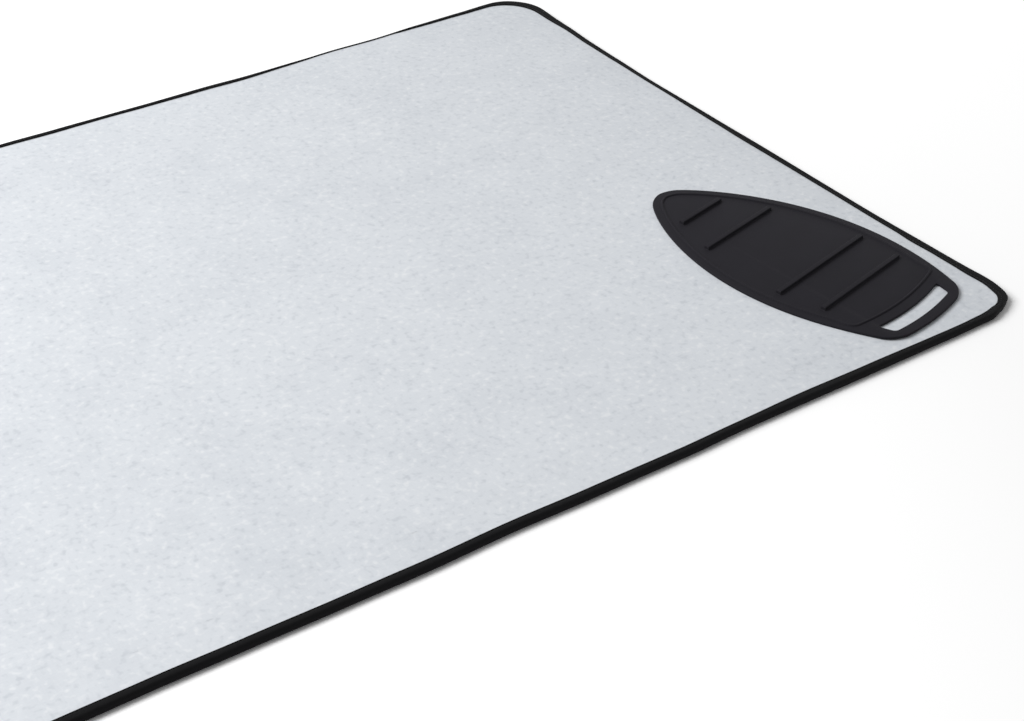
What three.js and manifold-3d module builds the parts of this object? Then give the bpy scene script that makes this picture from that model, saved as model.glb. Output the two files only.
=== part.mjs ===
// A padded ironing mat, laid flat on a table, with its loose silicone iron rest.
// Millimetres. +X runs along the mat, +Y across it to the far side, +Z up.
// The origin is under the middle of the mat, on the table.
import * as THREE from 'three';
import { mergeVertices } from 'three/addons/utils/BufferGeometryUtils.js';
import Module from 'manifold-3d';

const wasm = await Module();
wasm.setup();

// The mat's outline. The sewn-on tape pushes the corners of the two short ends out a little.
const matLength = 1200;
const matWidth = 700;
const cornerRadius = 40;
const cornerFlare = 11;
const flareReach = 4.5;
const flarePower = 6;

// The four plies of the pad, from the table up, and the air left between them.
const backingThickness = 0.6;
const feltThickness = 3;
const foamThickness = 2;
const coverThickness = 0.5;
const plyGap = 0.3;

// The rim, where the tape squeezes the felt and the foam, and the crown inside it.
const squeezedShare = 0.46;
const crownReach = 36;
const floorReach = 9;

// The edge binding: woven tape folded over the rim, and the seam that holds it.
const tapeThickness = 0.9;
const tapeWidth = 7.3;
const foldDepth = 2.4;
const tapeGap = 0.3;
const seamInset = 5.8;
const seamGrooveWidth = 1.3;
const seamGrooveDepth = 0.45;
const threadThickness = 0.3;
const threadGap = 0.1;

// The iron rest: one moulding with a boat-shaped outline and a slot to lift it by.
const restLength = 278.8;
const restWidth = 155;
const restThickness = 2.2;
const restEdgeRound = 0.5;
const endBowRadius = 235;
const slotLength = 88.5;
const slotTaper = 4;
const slotWidth = 13.2;
const slotRadius = 4;
const gripWidth = 9.1;

// Raised detail on the rest: a bead round the hot field, and four ribs for the iron's sole.
const beadInset = 8;
const beadWidth = 2.4;
const beadHeight = 1.2;
const beadCornerRound = 7;
const fieldStart = 32.6;
const ribHeight = 3.2;
const ribWidth = 4.4;
const ribRound = 0.8;
const ribEndInsets = [17.6, 16.6, 19, 19];
const joinOverrun = 1;

// Where the rest lies on the mat: the middle of its handle end, from the mat's end and from its
// near side, and the rest's turn from +Y.
const restFromEnd = 76.8;
const restFromSide = 22.3;
const restTurn = THREE.MathUtils.degToRad(12.84);
const restGap = 0.3;

// How finely curves are cut.
const cornerSteps = 8;
const foldSteps = 6;
const endSteps = 6;
const sideSteps = 16;

// Across the rest from its middle line, then along it from the handle end.
// The first value is a share of its half width, the second a share of its length.
const cornerStartShare = 0.482;
const cornerControlShares = [0.6397, 0.0247];
const sideStartShares = [0.7069, 0.0573];
const sideControlShares = [[1.4915, 0.5395], [0.4837, 0.9122]];
const tipStartShares = [0.2206, 0.9758];
const tipControlShares = [[0.1705, 0.9886], [0.0636, 1]];

// Places of the four ribs along the rest from its handle end, as shares of its length.
const ribRowShares = [0.2547, 0.3956, 0.6937, 0.8368];

// Places of extra outline points along a straight side, as shares of its half length.
const shortSideShares = [-0.86, -0.7, -0.45, 0, 0.45, 0.7, 0.86];
const longSideShares = [-0.5, 0, 0.5];

// Loops of the pad's top face between the tape and the crown, as shares of the crown's reach.
const crownShares = [0.1, 0.25, 0.45, 0.7, 1];
const floorShares = [0.35, 1];

const halfLength = matLength / 2;
const halfWidth = matWidth / 2;
const squeezedPadThickness = padThicknessAt(0);
const tapeHeight = 2 * (tapeThickness + tapeGap) + squeezedPadThickness;
const rimInset = foldDepth + tapeGap;
const coverTop = padThicknessAt(tapeWidth + crownReach);
const restBottom = coverTop + restGap;

// Share of their free thickness that the soft plies keep at a distance in from the edge.
function softShareAt(inset) {
  const rise = THREE.MathUtils.smoothstep(inset, tapeWidth, tapeWidth + crownReach);
  return THREE.MathUtils.lerp(squeezedShare, 1, rise);
}

function padThicknessAt(inset) {
  const soft = (feltThickness + foamThickness) * softShareAt(inset);
  return backingThickness + coverThickness + 3 * plyGap + soft;
}

// The pad lies on the tape's lower leg at the rim and on the table inside it.
function padFloorAt(inset) {
  const fall = THREE.MathUtils.smoothstep(inset, tapeWidth + tapeGap, tapeWidth + tapeGap + floorReach);
  return (tapeThickness + tapeGap) * (1 - fall);
}

// One closed run round the mat, a distance in from its edge, at one height.
// The tape's fold follows the pushed-out corners, and its legs take that up within their width.
function matLoop(inset, z) {
  const radius = cornerRadius * Math.exp(-inset / cornerRadius);
  const endX = halfLength - inset;
  const endY = halfWidth - inset;
  const flare = cornerFlare * Math.exp(-Math.max(0, inset - foldDepth) / flareReach);
  const corners = [[1, -1, -90], [1, 1, 0], [-1, 1, 90], [-1, -1, 180]];
  const points = [];
  corners.forEach(([signX, signY, startDegrees], index) => {
    const centreX = signX * (endX - radius);
    const centreY = signY * (endY - radius);
    for (let step = 0; step <= cornerSteps; step += 1) {
      const angle = THREE.MathUtils.degToRad(startDegrees + (90 * step) / cornerSteps);
      points.push([centreX + radius * Math.cos(angle), centreY + radius * Math.sin(angle)]);
    }
    const alongShort = index % 2 === 0;
    const shares = alongShort ? shortSideShares : longSideShares;
    for (const share of shares) {
      points.push(alongShort
        ? [signX * endX, signX * share * (endY - radius)]
        : [-signY * share * (endX - radius), signY * endY]);
    }
  });
  return points.map(([x, y]) => {
    const bulge = (flare / halfLength) * (Math.abs(y) / halfWidth) ** flarePower;
    return new THREE.Vector3(x * (1 + bulge), y, z);
  });
}

// Joins runs of points into one closed skin. Faces point out when the runs turn anticlockwise,
// seen from above, and are listed from the bottom outwards and up.
function skin(runs, closedRing) {
  const count = runs[0].length;
  const positions = runs.flat().flatMap((point) => point.toArray());
  const indices = [];
  const lastRun = closedRing ? runs.length : runs.length - 1;
  for (let run = 0; run < lastRun; run += 1) {
    const here = run * count;
    const above = ((run + 1) % runs.length) * count;
    for (let step = 0; step < count; step += 1) {
      const next = (step + 1) % count;
      indices.push(here + step, here + next, above + next);
      indices.push(here + step, above + next, above + step);
    }
  }
  if (!closedRing) {
    const flat = (run) => run.map((point) => new THREE.Vector2(point.x, point.y));
    const top = (runs.length - 1) * count;
    for (const [a, b, c] of THREE.ShapeUtils.triangulateShape(flat(runs[0]), [])) {
      indices.push(c, b, a);
    }
    for (const [a, b, c] of THREE.ShapeUtils.triangulateShape(flat(runs.at(-1)), [])) {
      indices.push(top + a, top + b, top + c);
    }
  }
  const geometry = new THREE.BufferGeometry();
  geometry.setAttribute('position', new THREE.Float32BufferAttribute(positions, 3));
  geometry.setIndex(indices);
  return geometry;
}

// One ply: its floor and its top are given as heights at a distance in from the edge.
function plyGeometry(floorAt, topAt) {
  const flatInsets = [rimInset, tapeWidth];
  const floorInsets = floorShares.map((share) => tapeWidth + tapeGap + share * floorReach);
  const crownInsets = crownShares.map((share) => tapeWidth + share * crownReach);
  const insets = [...flatInsets, ...floorInsets, ...crownInsets].sort((a, b) => a - b);
  const runs = [];
  for (const inset of [...insets].reverse()) {
    runs.push(matLoop(inset, floorAt(inset)));
  }
  for (const inset of insets) {
    runs.push(matLoop(inset, topAt(inset)));
  }
  return skin(runs, false);
}

const backingFloorAt = (inset) => padFloorAt(inset);
const backingTopAt = (inset) => backingFloorAt(inset) + backingThickness;
const feltFloorAt = (inset) => backingTopAt(inset) + plyGap;
const feltTopAt = (inset) => feltFloorAt(inset) + feltThickness * softShareAt(inset);
const foamFloorAt = (inset) => feltTopAt(inset) + plyGap;
const foamTopAt = (inset) => foamFloorAt(inset) + foamThickness * softShareAt(inset);
const coverFloorAt = (inset) => foamTopAt(inset) + plyGap;
const coverTopAt = (inset) => coverFloorAt(inset) + coverThickness;

// The tape's section: a fold round the rim and two legs, each with the seam's shallow groove.
function bindingGeometry() {
  const middle = tapeHeight / 2;
  const fold = (depth, height, startDegrees, turn) => {
    const points = [];
    for (let step = 0; step <= foldSteps; step += 1) {
      const angle = THREE.MathUtils.degToRad(startDegrees + (turn * 180 * step) / foldSteps);
      points.push([foldDepth - depth * Math.cos(angle), middle + height * Math.sin(angle)]);
    }
    return points;
  };
  const halfGroove = seamGrooveWidth / 2;
  const lowerLeg = [
    [tapeWidth, 0],
    [seamInset + halfGroove, 0],
    [seamInset, seamGrooveDepth],
    [seamInset - halfGroove, 0],
  ];
  const upperLeg = lowerLeg.map(([inset, z]) => [inset, tapeHeight - z]).reverse();
  const section = [
    ...lowerLeg,
    ...fold(foldDepth, middle, -90, 1),
    ...upperLeg,
    [tapeWidth, tapeHeight - tapeThickness],
    ...fold(foldDepth - tapeThickness, middle - tapeThickness, 90, -1),
    [tapeWidth, tapeThickness],
  ];
  return skin(section.map(([inset, z]) => matLoop(inset, z)), true);
}

// A thread of the seam, lying in its groove, as one run round the mat.
function threadGeometry(floorZ) {
  const half = threadThickness / 2;
  const section = [
    [seamInset, floorZ],
    [seamInset - half, floorZ + half],
    [seamInset, floorZ + threadThickness],
    [seamInset + half, floorZ + half],
  ];
  return skin(section.map(([inset, z]) => matLoop(inset, z)), true);
}

// The rest's outline, from the middle of its handle end round to the tip and back.
function restOutline() {
  const at = ([across, along], side) => [side * across * (restWidth / 2), along * restLength];
  const cornerStart = cornerStartShare * (restWidth / 2);
  const bow = (across) => across ** 2 / (2 * endBowRadius);
  const right = new THREE.Path();
  right.moveTo(0, 0);
  right.quadraticCurveTo(cornerStart / 2, 0, cornerStart, bow(cornerStart));
  right.quadraticCurveTo(...at(cornerControlShares, 1), ...at(sideStartShares, 1));
  right.bezierCurveTo(
    ...at(sideControlShares[0], 1),
    ...at(sideControlShares[1], 1),
    ...at(tipStartShares, 1),
  );
  right.bezierCurveTo(...at(tipControlShares[0], 1), ...at(tipControlShares[1], 1), 0, restLength);
  const steps = [endSteps, endSteps, sideSteps, endSteps];
  const half = right.curves.flatMap((curve, index) => curve.getPoints(steps[index]).slice(0, -1));
  half.push(new THREE.Vector2(0, restLength));
  const mirrored = half.slice(1, -1).reverse().map((point) => new THREE.Vector2(-point.x, point.y));
  return [...half, ...mirrored];
}

// Moves a closed run of points in by one distance, along the mean of the two edges' normals.
function movedIn(points, distance) {
  return points.map((point, index) => {
    const before = points[(index + points.length - 1) % points.length];
    const after = points[(index + 1) % points.length];
    const edgeIn = point.clone().sub(before).normalize();
    const edgeOut = after.clone().sub(point).normalize();
    const along = edgeIn.clone().add(edgeOut).normalize();
    const stretch = 1 / Math.max(along.dot(edgeOut), Math.SQRT1_2);
    return new THREE.Vector2(
      point.x - along.y * distance * stretch,
      point.y + along.x * distance * stretch,
    );
  });
}

// The lifting slot: its two long sides follow the bow of the handle end, and it narrows towards it.
function slotOutline() {
  const bow = (across) => across ** 2 / (2 * endBowRadius);
  const near = (across) => new THREE.Vector2(across, gripWidth + bow(across));
  const far = (across) => new THREE.Vector2(across, gripWidth + slotWidth + bow(across));
  const farHalf = slotLength / 2;
  const nearHalf = farHalf - slotTaper;
  const nearInner = near(nearHalf - slotRadius);
  const farInner = far(farHalf - slotRadius);
  const end = far(farHalf).sub(near(nearHalf));
  const step = end.clone().setLength(slotRadius);
  const nearEnd = near(nearHalf).add(step);
  const farEnd = far(farHalf).sub(step);
  const slot = new THREE.Path();
  slot.moveTo(-nearInner.x, nearInner.y);
  slot.quadraticCurveTo(0, 2 * gripWidth - nearInner.y, nearInner.x, nearInner.y);
  slot.quadraticCurveTo(nearHalf, near(nearHalf).y, nearEnd.x, nearEnd.y);
  slot.lineTo(farEnd.x, farEnd.y);
  slot.quadraticCurveTo(farHalf, far(farHalf).y, farInner.x, farInner.y);
  slot.quadraticCurveTo(0, 2 * far(0).y - farInner.y, -farInner.x, farInner.y);
  slot.quadraticCurveTo(-farHalf, far(farHalf).y, -farEnd.x, farEnd.y);
  slot.lineTo(-nearEnd.x, nearEnd.y);
  slot.quadraticCurveTo(-nearHalf, near(nearHalf).y, -nearInner.x, nearInner.y);
  return slot;
}

// The line of the bead: the outline moved in, closed by a bowed line above the slot.
function beadLine() {
  const bow = (across) => across ** 2 / (2 * endBowRadius);
  const moved = movedIn(restOutline(), beadInset);
  const isField = (point) => point.y > fieldStart + bow(point.x) + beadCornerRound;
  const line = moved.filter(isField);
  const start = line[0];
  const straightReach = start.x - beadCornerRound;
  const corner = (side) => new THREE.QuadraticBezierCurve(
    new THREE.Vector2(side * start.x, start.y),
    new THREE.Vector2(side * start.x, fieldStart + bow(start.x)),
    new THREE.Vector2(side * straightReach, fieldStart + bow(straightReach)),
  ).getPoints(cornerSteps);
  line.push(...corner(-1).slice(1));
  for (let step = 1; step < endSteps; step += 1) {
    const across = -straightReach + (2 * straightReach * step) / endSteps;
    line.push(new THREE.Vector2(across, fieldStart + bow(across)));
  }
  line.push(...corner(1).reverse().slice(0, -1));
  return line;
}

function asSolid(geometry) {
  const bare = geometry.clone();
  bare.deleteAttribute('normal');
  bare.deleteAttribute('uv');
  const merged = mergeVertices(bare);
  const vertProperties = new Float32Array(merged.attributes.position.array);
  const triVerts = new Uint32Array(merged.index.array);
  return new wasm.Manifold(new wasm.Mesh({ numProp: 3, vertProperties, triVerts }));
}

function asGeometry(solid) {
  const { vertProperties, triVerts } = solid.getMesh();
  const geometry = new THREE.BufferGeometry();
  geometry.setAttribute('position', new THREE.BufferAttribute(vertProperties, 3));
  geometry.setIndex(new THREE.BufferAttribute(triVerts, 1));
  return geometry;
}

function restBaseGeometry() {
  const shape = new THREE.Shape(restOutline());
  shape.holes.push(slotOutline());
  const geometry = new THREE.ExtrudeGeometry(shape, {
    depth: restThickness - 2 * restEdgeRound,
    curveSegments: endSteps,
    bevelThickness: restEdgeRound,
    bevelSize: restEdgeRound,
    bevelOffset: -restEdgeRound,
    bevelSegments: 1,
  });
  return geometry.translate(0, 0, restEdgeRound);
}

// The bead's low domed section, swept round its line.
function beadGeometry() {
  const line = beadLine();
  const half = beadWidth / 2;
  const crown = half / 2;
  const rootZ = restThickness - joinOverrun;
  const topZ = restThickness + beadHeight;
  const section = [[-half, rootZ], [-half, restThickness], [-crown, topZ]];
  const mirrored = section.map(([offset, z]) => [-offset, z]).reverse();
  const runs = [...section, ...mirrored].map(([offset, z]) => (
    movedIn(line, offset).map((point) => new THREE.Vector3(point.x, point.y, z))
  ));
  return skin(runs, true);
}

// Half the rest's width at a distance along it, read off its outline.
function restHalfWidthAt(along) {
  const outline = restOutline().filter((point) => point.x >= 0);
  const index = outline.findIndex((point) => point.y >= along);
  const before = outline[index - 1];
  const after = outline[index];
  return THREE.MathUtils.mapLinear(along, before.y, after.y, before.x, after.x);
}

// A rib with round ends and an eased top edge, lying across the rest.
function ribGeometry(along, endInset) {
  const halfSpan = restHalfWidthAt(along) - endInset - ribWidth / 2;
  const loop = (inset, z) => {
    const radius = ribWidth / 2 - inset;
    const points = [];
    for (const [side, startDegrees] of [[1, -90], [-1, 90]]) {
      for (let step = 0; step <= cornerSteps; step += 1) {
        const angle = THREE.MathUtils.degToRad(startDegrees + (180 * step) / cornerSteps);
        const across = side * halfSpan + radius * Math.cos(angle);
        points.push(new THREE.Vector3(across, along + radius * Math.sin(angle), z));
      }
    }
    return points;
  };
  const topZ = restThickness + ribHeight;
  return skin([
    loop(0, restThickness - joinOverrun),
    loop(0, topZ - ribRound),
    loop(ribRound, topZ),
  ], false);
}

function restGeometry() {
  let solid = asSolid(restBaseGeometry()).add(asSolid(beadGeometry()));
  ribRowShares.forEach((share, row) => {
    solid = solid.add(asSolid(ribGeometry(share * restLength, ribEndInsets[row])));
  });
  return asGeometry(solid);
}

function piece(name, geometry, color, roughness, metalness = 0) {
  const shaded = geometry;
  shaded.computeVertexNormals();
  const mesh = new THREE.Mesh(shaded, new THREE.MeshStandardMaterial({ color, roughness, metalness }));
  mesh.name = name;
  return mesh;
}

// The mat: four plies, the tape round them, and the two threads of the tape's seam.
function makeMat() {
  const mat = new THREE.Group();
  const needleThreadFloor = tapeHeight - seamGrooveDepth + threadGap;
  const bobbinThreadFloor = seamGrooveDepth - threadGap - threadThickness;
  mat.add(
    piece('backing_cloth', plyGeometry(backingFloorAt, backingTopAt), 0xbdbab2, 0.9),
    piece('felt_pad', plyGeometry(feltFloorAt, feltTopAt), 0xe4e1d8, 1),
    piece('foam_pad', plyGeometry(foamFloorAt, foamTopAt), 0xe9e4c9, 1),
    piece('top_cover', plyGeometry(coverFloorAt, coverTopAt), 0xcdd1d6, 0.55, 0.25),
    piece('edge_binding', bindingGeometry(), 0x17171a, 0.85),
    piece('needle_thread', threadGeometry(needleThreadFloor), 0x101012, 0.6),
    piece('bobbin_thread', threadGeometry(bobbinThreadFloor), 0x101012, 0.6),
  );
  return mat;
}

function makeRest() {
  const rest = new THREE.Group();
  rest.add(piece('iron_rest', restGeometry(), 0x2f2e33, 0.6));
  rest.position.set(halfLength - restFromEnd, restFromSide - halfWidth, restBottom);
  rest.rotation.z = restTurn;
  return rest;
}

const ironingPad = new THREE.Group();
ironingPad.add(makeMat(), makeRest());

export default ironingPad;
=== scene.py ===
import bpy
import bmesh
import math
import random
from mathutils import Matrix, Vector, noise


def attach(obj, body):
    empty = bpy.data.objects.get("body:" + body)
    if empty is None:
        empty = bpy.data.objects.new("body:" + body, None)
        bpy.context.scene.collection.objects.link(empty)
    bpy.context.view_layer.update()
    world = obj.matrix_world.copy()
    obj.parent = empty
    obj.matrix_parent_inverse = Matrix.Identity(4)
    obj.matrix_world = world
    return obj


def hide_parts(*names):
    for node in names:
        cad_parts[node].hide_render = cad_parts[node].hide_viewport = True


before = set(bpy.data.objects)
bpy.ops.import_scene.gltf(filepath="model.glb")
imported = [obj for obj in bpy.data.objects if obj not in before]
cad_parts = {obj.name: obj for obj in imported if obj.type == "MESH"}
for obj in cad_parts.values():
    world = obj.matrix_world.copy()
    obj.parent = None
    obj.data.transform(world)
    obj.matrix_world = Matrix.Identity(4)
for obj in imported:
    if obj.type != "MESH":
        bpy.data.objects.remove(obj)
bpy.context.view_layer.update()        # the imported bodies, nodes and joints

mm = 0.001
hair = 0.01 * mm             # heights closer than this count as one
random.seed(7)


# sRGB hex to the linear values that Blender's sockets take
def linearColour(hexCode):
    channels = [int(hexCode[at:at + 2], 16) / 255 for at in (0, 2, 4)]
    return [c / 12.92 if c <= 0.04045 else ((c + 0.055) / 1.055) ** 2.4 for c in channels] + [1]


# adds one node: settings name a property or a socket, links name a socket and what feeds it
def addNode(tree, kind, settings=None, links=None):
    node = tree.nodes.new(kind)
    for name, value in (settings or {}).items():
        if isinstance(name, int) or name in node.inputs:
            node.inputs[name].default_value = value
        else:
            setattr(node, name, value)
    for name, output in (links or {}).items():
        tree.links.new(output, node.inputs[name])
    return node


def startMaterial(name, shaderSettings):
    material = bpy.data.materials.new(name)
    material.use_nodes = True
    tree = material.node_tree
    tree.nodes.clear()
    shader = addNode(tree, "ShaderNodeBsdfPrincipled", shaderSettings)
    addNode(tree, "ShaderNodeOutputMaterial", links={"Surface": shader.outputs["BSDF"]})
    return material, tree, shader


# the shader's colour, between two by a factor
def colourBetween(tree, shader, shade, colour, factor):
    base = addNode(tree, "ShaderNodeMix", {"data_type": "RGBA", 6: linearColour(shade),
                                           7: linearColour(colour)}, {0: factor})
    tree.links.new(base.outputs[2], shader.inputs["Base Color"])


def bumpFrom(tree, shader, height, strength, depth, invert=False):
    bump = addNode(tree, "ShaderNodeBump",
                   {"Strength": strength, "Distance": depth, "invert": invert},
                   {"Height": height})
    tree.links.new(bump.outputs[0], shader.inputs["Normal"])


# bands at a real spacing: a wave texture repeats every pi / (10 x scale)
def bandsOf(tree, where, direction, spacing, distortion=0, detail=2):
    texture = addNode(tree, "ShaderNodeTexWave",
                      {"bands_direction": direction, "Scale": math.pi / 10 / spacing,
                       "Distortion": distortion, "Detail": detail}, {"Vector": where})
    return texture.outputs["Fac"]


# warp and weft crossing: high where both threads stand up
def plainWeave(tree, where, spacing, distortion, detail):
    warp, weft = [bandsOf(tree, where, way, spacing, distortion, detail) for way in ("X", "Y")]
    weave = addNode(tree, "ShaderNodeMath", {"operation": "MULTIPLY"}, {0: warp, 1: weft})
    return weave.outputs[0]


# soft noise with features of a real size
def noiseOf(tree, where, size, detail, roughness=0.5, distortion=0):
    texture = addNode(tree, "ShaderNodeTexNoise",
                      {"Scale": 1 / size, "Detail": detail, "Roughness": roughness,
                       "Distortion": distortion}, {"Vector": where})
    return texture.outputs["Fac"]


def mapRange(tree, value, fromLow, fromHigh, toLow, toHigh):
    mapped = addNode(tree, "ShaderNodeMapRange", {"From Min": fromLow, "From Max": fromHigh,
                                                  "To Min": toLow, "To Max": toHigh},
                     {"Value": value})
    return mapped.outputs[0]


def smoothStep(value, low, high):
    share = min(max((value - low) / (high - low), 0), 1)
    return share * share * (3 - 2 * share)


def deselectAll():
    if bpy.context.object and bpy.context.object.mode != "OBJECT":
        bpy.ops.object.mode_set(mode="OBJECT")
    bpy.ops.object.select_all(action="DESELECT")


def pick(piece):
    deselectAll()
    piece.select_set(True)
    bpy.context.view_layer.objects.active = piece


def meshObject(name, spots, faces):
    mesh = bpy.data.meshes.new(name)
    mesh.from_pydata(spots, [], faces)
    piece = bpy.data.objects.new(name, mesh)
    bpy.context.collection.objects.link(piece)
    return piece


def finishPiece(piece, name, body, node, material, smoothDegrees=None):
    pick(piece)
    bpy.ops.object.transform_apply(location=True, rotation=True, scale=True)
    if smoothDegrees is None:
        bpy.ops.object.shade_smooth()
    else:
        bpy.ops.object.shade_smooth_by_angle(angle=math.radians(smoothDegrees))
    piece.name = piece.data.name = name
    piece.data.materials.clear()
    piece.data.materials.append(material)
    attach(piece, body)
    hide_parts(node)
    print(name, "done,", len(piece.data.polygons), "faces")


# the camera, the floor and the light

camera = {
    "place": (-0.53341, -1.15404, 0.86631),
    "pitch": 35.304,        # degrees below the horizon
    "yaw": 33.328,          # degrees from +Y towards +X
    "lens": 67.38,
    "sensor": 36,
    "shift": 0.1089,        # the photo's own centre lies left of the frame's
    "clip": (0.01, 100),
}

bpy.ops.object.camera_add(
    location=camera["place"],
    rotation=(math.radians(90 - camera["pitch"]), 0, math.radians(-camera["yaw"])),
)
viewer = bpy.context.object
viewer.data.lens = camera["lens"]
viewer.data.sensor_width = camera["sensor"]
viewer.data.shift_x = camera["shift"]
viewer.data.clip_start, viewer.data.clip_end = camera["clip"]
bpy.context.scene.camera = viewer

studio = {
    "floorSize": 30,
    "floorHeight": -0.2 * mm,
    "floorColour": "FFFFFF",
    "floorGain": (1.21, 1.53),   # the camera sees the lit floor this much brighter, as white
    "gainPlaces": (0.55, 1.35),  # from here to here, as the light falls off to the right
    "skyStrength": 0.29,
    "boxPlace": (-1.8, 1.1, 2.3),
    "boxSize": 2.0,
    "boxPower": 109.5,
    "boxAim": (0, -0.1, 0),
}


# 1 for rays that show the surroundings: straight ones, mirrored ones and ones through glass
def seeingRays(tree):
    rays = addNode(tree, "ShaderNodeLightPath")
    either = addNode(tree, "ShaderNodeMath", {"operation": "MAXIMUM"},
                     {0: rays.outputs["Is Camera Ray"], 1: rays.outputs["Is Glossy Ray"]})
    anyOf = addNode(tree, "ShaderNodeMath", {"operation": "MAXIMUM"},
                    {0: either.outputs[0], 1: rays.outputs["Is Transmission Ray"]})
    return anyOf.outputs[0]


deselectAll()
bpy.ops.mesh.primitive_plane_add(size=studio["floorSize"],
                                 location=(0, 0, studio["floorHeight"]))
floor = bpy.context.object
floor.name = "floor"
paper = bpy.data.materials.new("white paper floor")
paper.use_nodes = True
tree = paper.node_tree
tree.nodes.clear()
spot = addNode(tree, "ShaderNodeSeparateXYZ",
               links={"Vector": addNode(tree, "ShaderNodeTexCoord").outputs["Object"]})
gain = mapRange(tree, spot.outputs["X"], *studio["gainPlaces"], *studio["floorGain"])
seen = addNode(tree, "ShaderNodeMix", {"data_type": "FLOAT", 2: 1.0},
               {0: seeingRays(tree), 3: gain})
white = addNode(tree, "ShaderNodeVectorMath",
                {"operation": "SCALE", 0: linearColour(studio["floorColour"])[:3]},
                {"Scale": seen.outputs[0]})
lit = addNode(tree, "ShaderNodeBsdfDiffuse", links={"Color": white.outputs[0]})
addNode(tree, "ShaderNodeOutputMaterial", links={"Surface": lit.outputs[0]})
floor.data.materials.append(paper)

world = bpy.data.worlds.new("soft studio")
bpy.context.scene.world = world
world.use_nodes = True
tree = world.node_tree
tree.nodes.clear()
level = addNode(tree, "ShaderNodeMix", {"data_type": "FLOAT", 2: studio["skyStrength"], 3: 1.0},
                {0: seeingRays(tree)})
sky = addNode(tree, "ShaderNodeBackground", {"Color": (1, 1, 1, 1)},
              {"Strength": level.outputs[0]})
addNode(tree, "ShaderNodeOutputWorld", links={"Surface": sky.outputs[0]})

# one large soft box behind and to the left, as the photo's shadows ask for
deselectAll()
bpy.ops.object.light_add(type="AREA", location=studio["boxPlace"])
light = bpy.context.object
light.name = "softBox"
light.data.shape = "SQUARE"
light.data.size = studio["boxSize"]
light.data.energy = studio["boxPower"]
towards = Vector(studio["boxAim"]) - Vector(studio["boxPlace"])
light.rotation_euler = towards.to_track_quat("-Z", "Y").to_euler()
bpy.context.scene.view_settings.view_transform = "Standard"
print("camera, floor and light set")


# the mat's outline and layers, shared by every ply

mat = {
    "length": 1200 * mm,
    "width": 700 * mm,
    "cornerRadius": 40 * mm,
    "cornerFlare": 11 * mm,      # the tape pushes the short ends' corners out by this much
    "flareReach": 4.5 * mm,
    "flarePower": 6,
    "edgeWobble": 0.6 * mm,      # the sewn edge isn't quite straight
    "wobbleSpacing": 90 * mm,
    "endFade": 24,               # powers by which an edge's stray fades inwards
    "sideFade": 16,
    "cellsLong": 92,             # cells along half a long side
    "cellsShort": 54,
    "ringSteps": (0.6, 1.4, 2.6, 4.2, 6.2, 8.8, 12, 16, 21, 27),   # rings, in mm from the tape
    "outerCrown": 34 * mm,       # two more rings on the crown
    "innerCrown": 52 * mm,
    "roundInset": 43 * mm,       # the rings' corners grow square from here in
    "gridInset": 62 * mm,        # inside this the plies are a plain grid
    "tapeWidth": 7.3 * mm,
    "tapeThickness": 0.9 * mm,
    "tapeGap": 0.3 * mm,
    "foldDepth": 2.4 * mm,
    "crownReach": 52 * mm,       # how far in the cover climbs to its full height
    "floorReach": 9 * mm,
    "squeezedShare": 0.46,       # of the padding's depth, between the tape's legs
    "plyGap": 0.3 * mm,
    "mergeReach": 0.02 * mm,
}
plies = {"backing": 0.6 * mm, "felt": 3 * mm, "foam": 2 * mm, "cover": 0.5 * mm}
softDepth = plies["felt"] + plies["foam"]
tapeHeight = (2 * (mat["tapeThickness"] + mat["tapeGap"]) + plies["backing"] + plies["cover"]
              + 3 * mat["plyGap"] + mat["squeezedShare"] * softDepth)

waves = {
    "broad": 190 * mm,           # how far apart the cloth's soft swells lie
    "fine": 62 * mm,
    "depth": 0.85 * mm,
    "swellShares": (0.5, 0.62, 0.2),    # the middle, the broad swells and the fine ones
    "feltShare": 0.6,            # of each dip, the rest of it is the foam's
    "puckerSpacing": 11 * mm,    # the seam draws the cloth into small folds
    "puckerDepth": 0.22 * mm,
    "puckerReach": 9 * mm,
    "puckerPeak": 2 * mm,        # beyond the tape
    "dents": [((-39 * mm, -309 * mm), 17 * mm, 0.8 * mm)],    # each (place, reach, depth)
    "restCentre": (492 * mm, -195 * mm),
    "restReach": (92 * mm, 158 * mm),
    "calm": 0.9,                 # how much flatter the cloth lies under the iron rest
    "calmReach": (0.9, 1.25),
}


# how far each sewn side strays outward, as (place along it, shift), both in mm
drifts = {
    "end": [(-350, 1.8), (-338, 0.8), (-322, -0.8), (-300, 0.9), (-240, 1.7), (-180, 1.0),
            (-120, 1.2), (-40, 1.9), (40, 1.0), (110, 0.9), (180, 2.6), (220, 3.2), (260, 4.9),
            (300, 4.6), (325, 4.0), (345, 3.4)],
    "far": [(-330, 0), (-120, 3.0), (-30, 4.1), (20, 3.9), (70, 2.4), (120, 1.7), (170, 0.8),
            (220, 1.0), (270, -0.6), (330, 0), (370, 1.3), (415, 0.2), (470, 2.6), (520, 3.5),
            (555, 4.7), (575, 4.2), (590, 3.2)],
    "near": [(-300, 0), (-260, -1.6), (-190, -1.8), (-120, -0.6), (-50, 0.1), (20, 0.6),
             (90, -0.6), (160, 0.5), (240, 0.5), (300, -1.1), (370, -1.2), (440, -0.7),
             (510, -0.8), (555, -1.6), (572, -4.7), (579, -5.5), (585, -5.2), (591, -2.5),
             (600, 0)],
}
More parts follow.
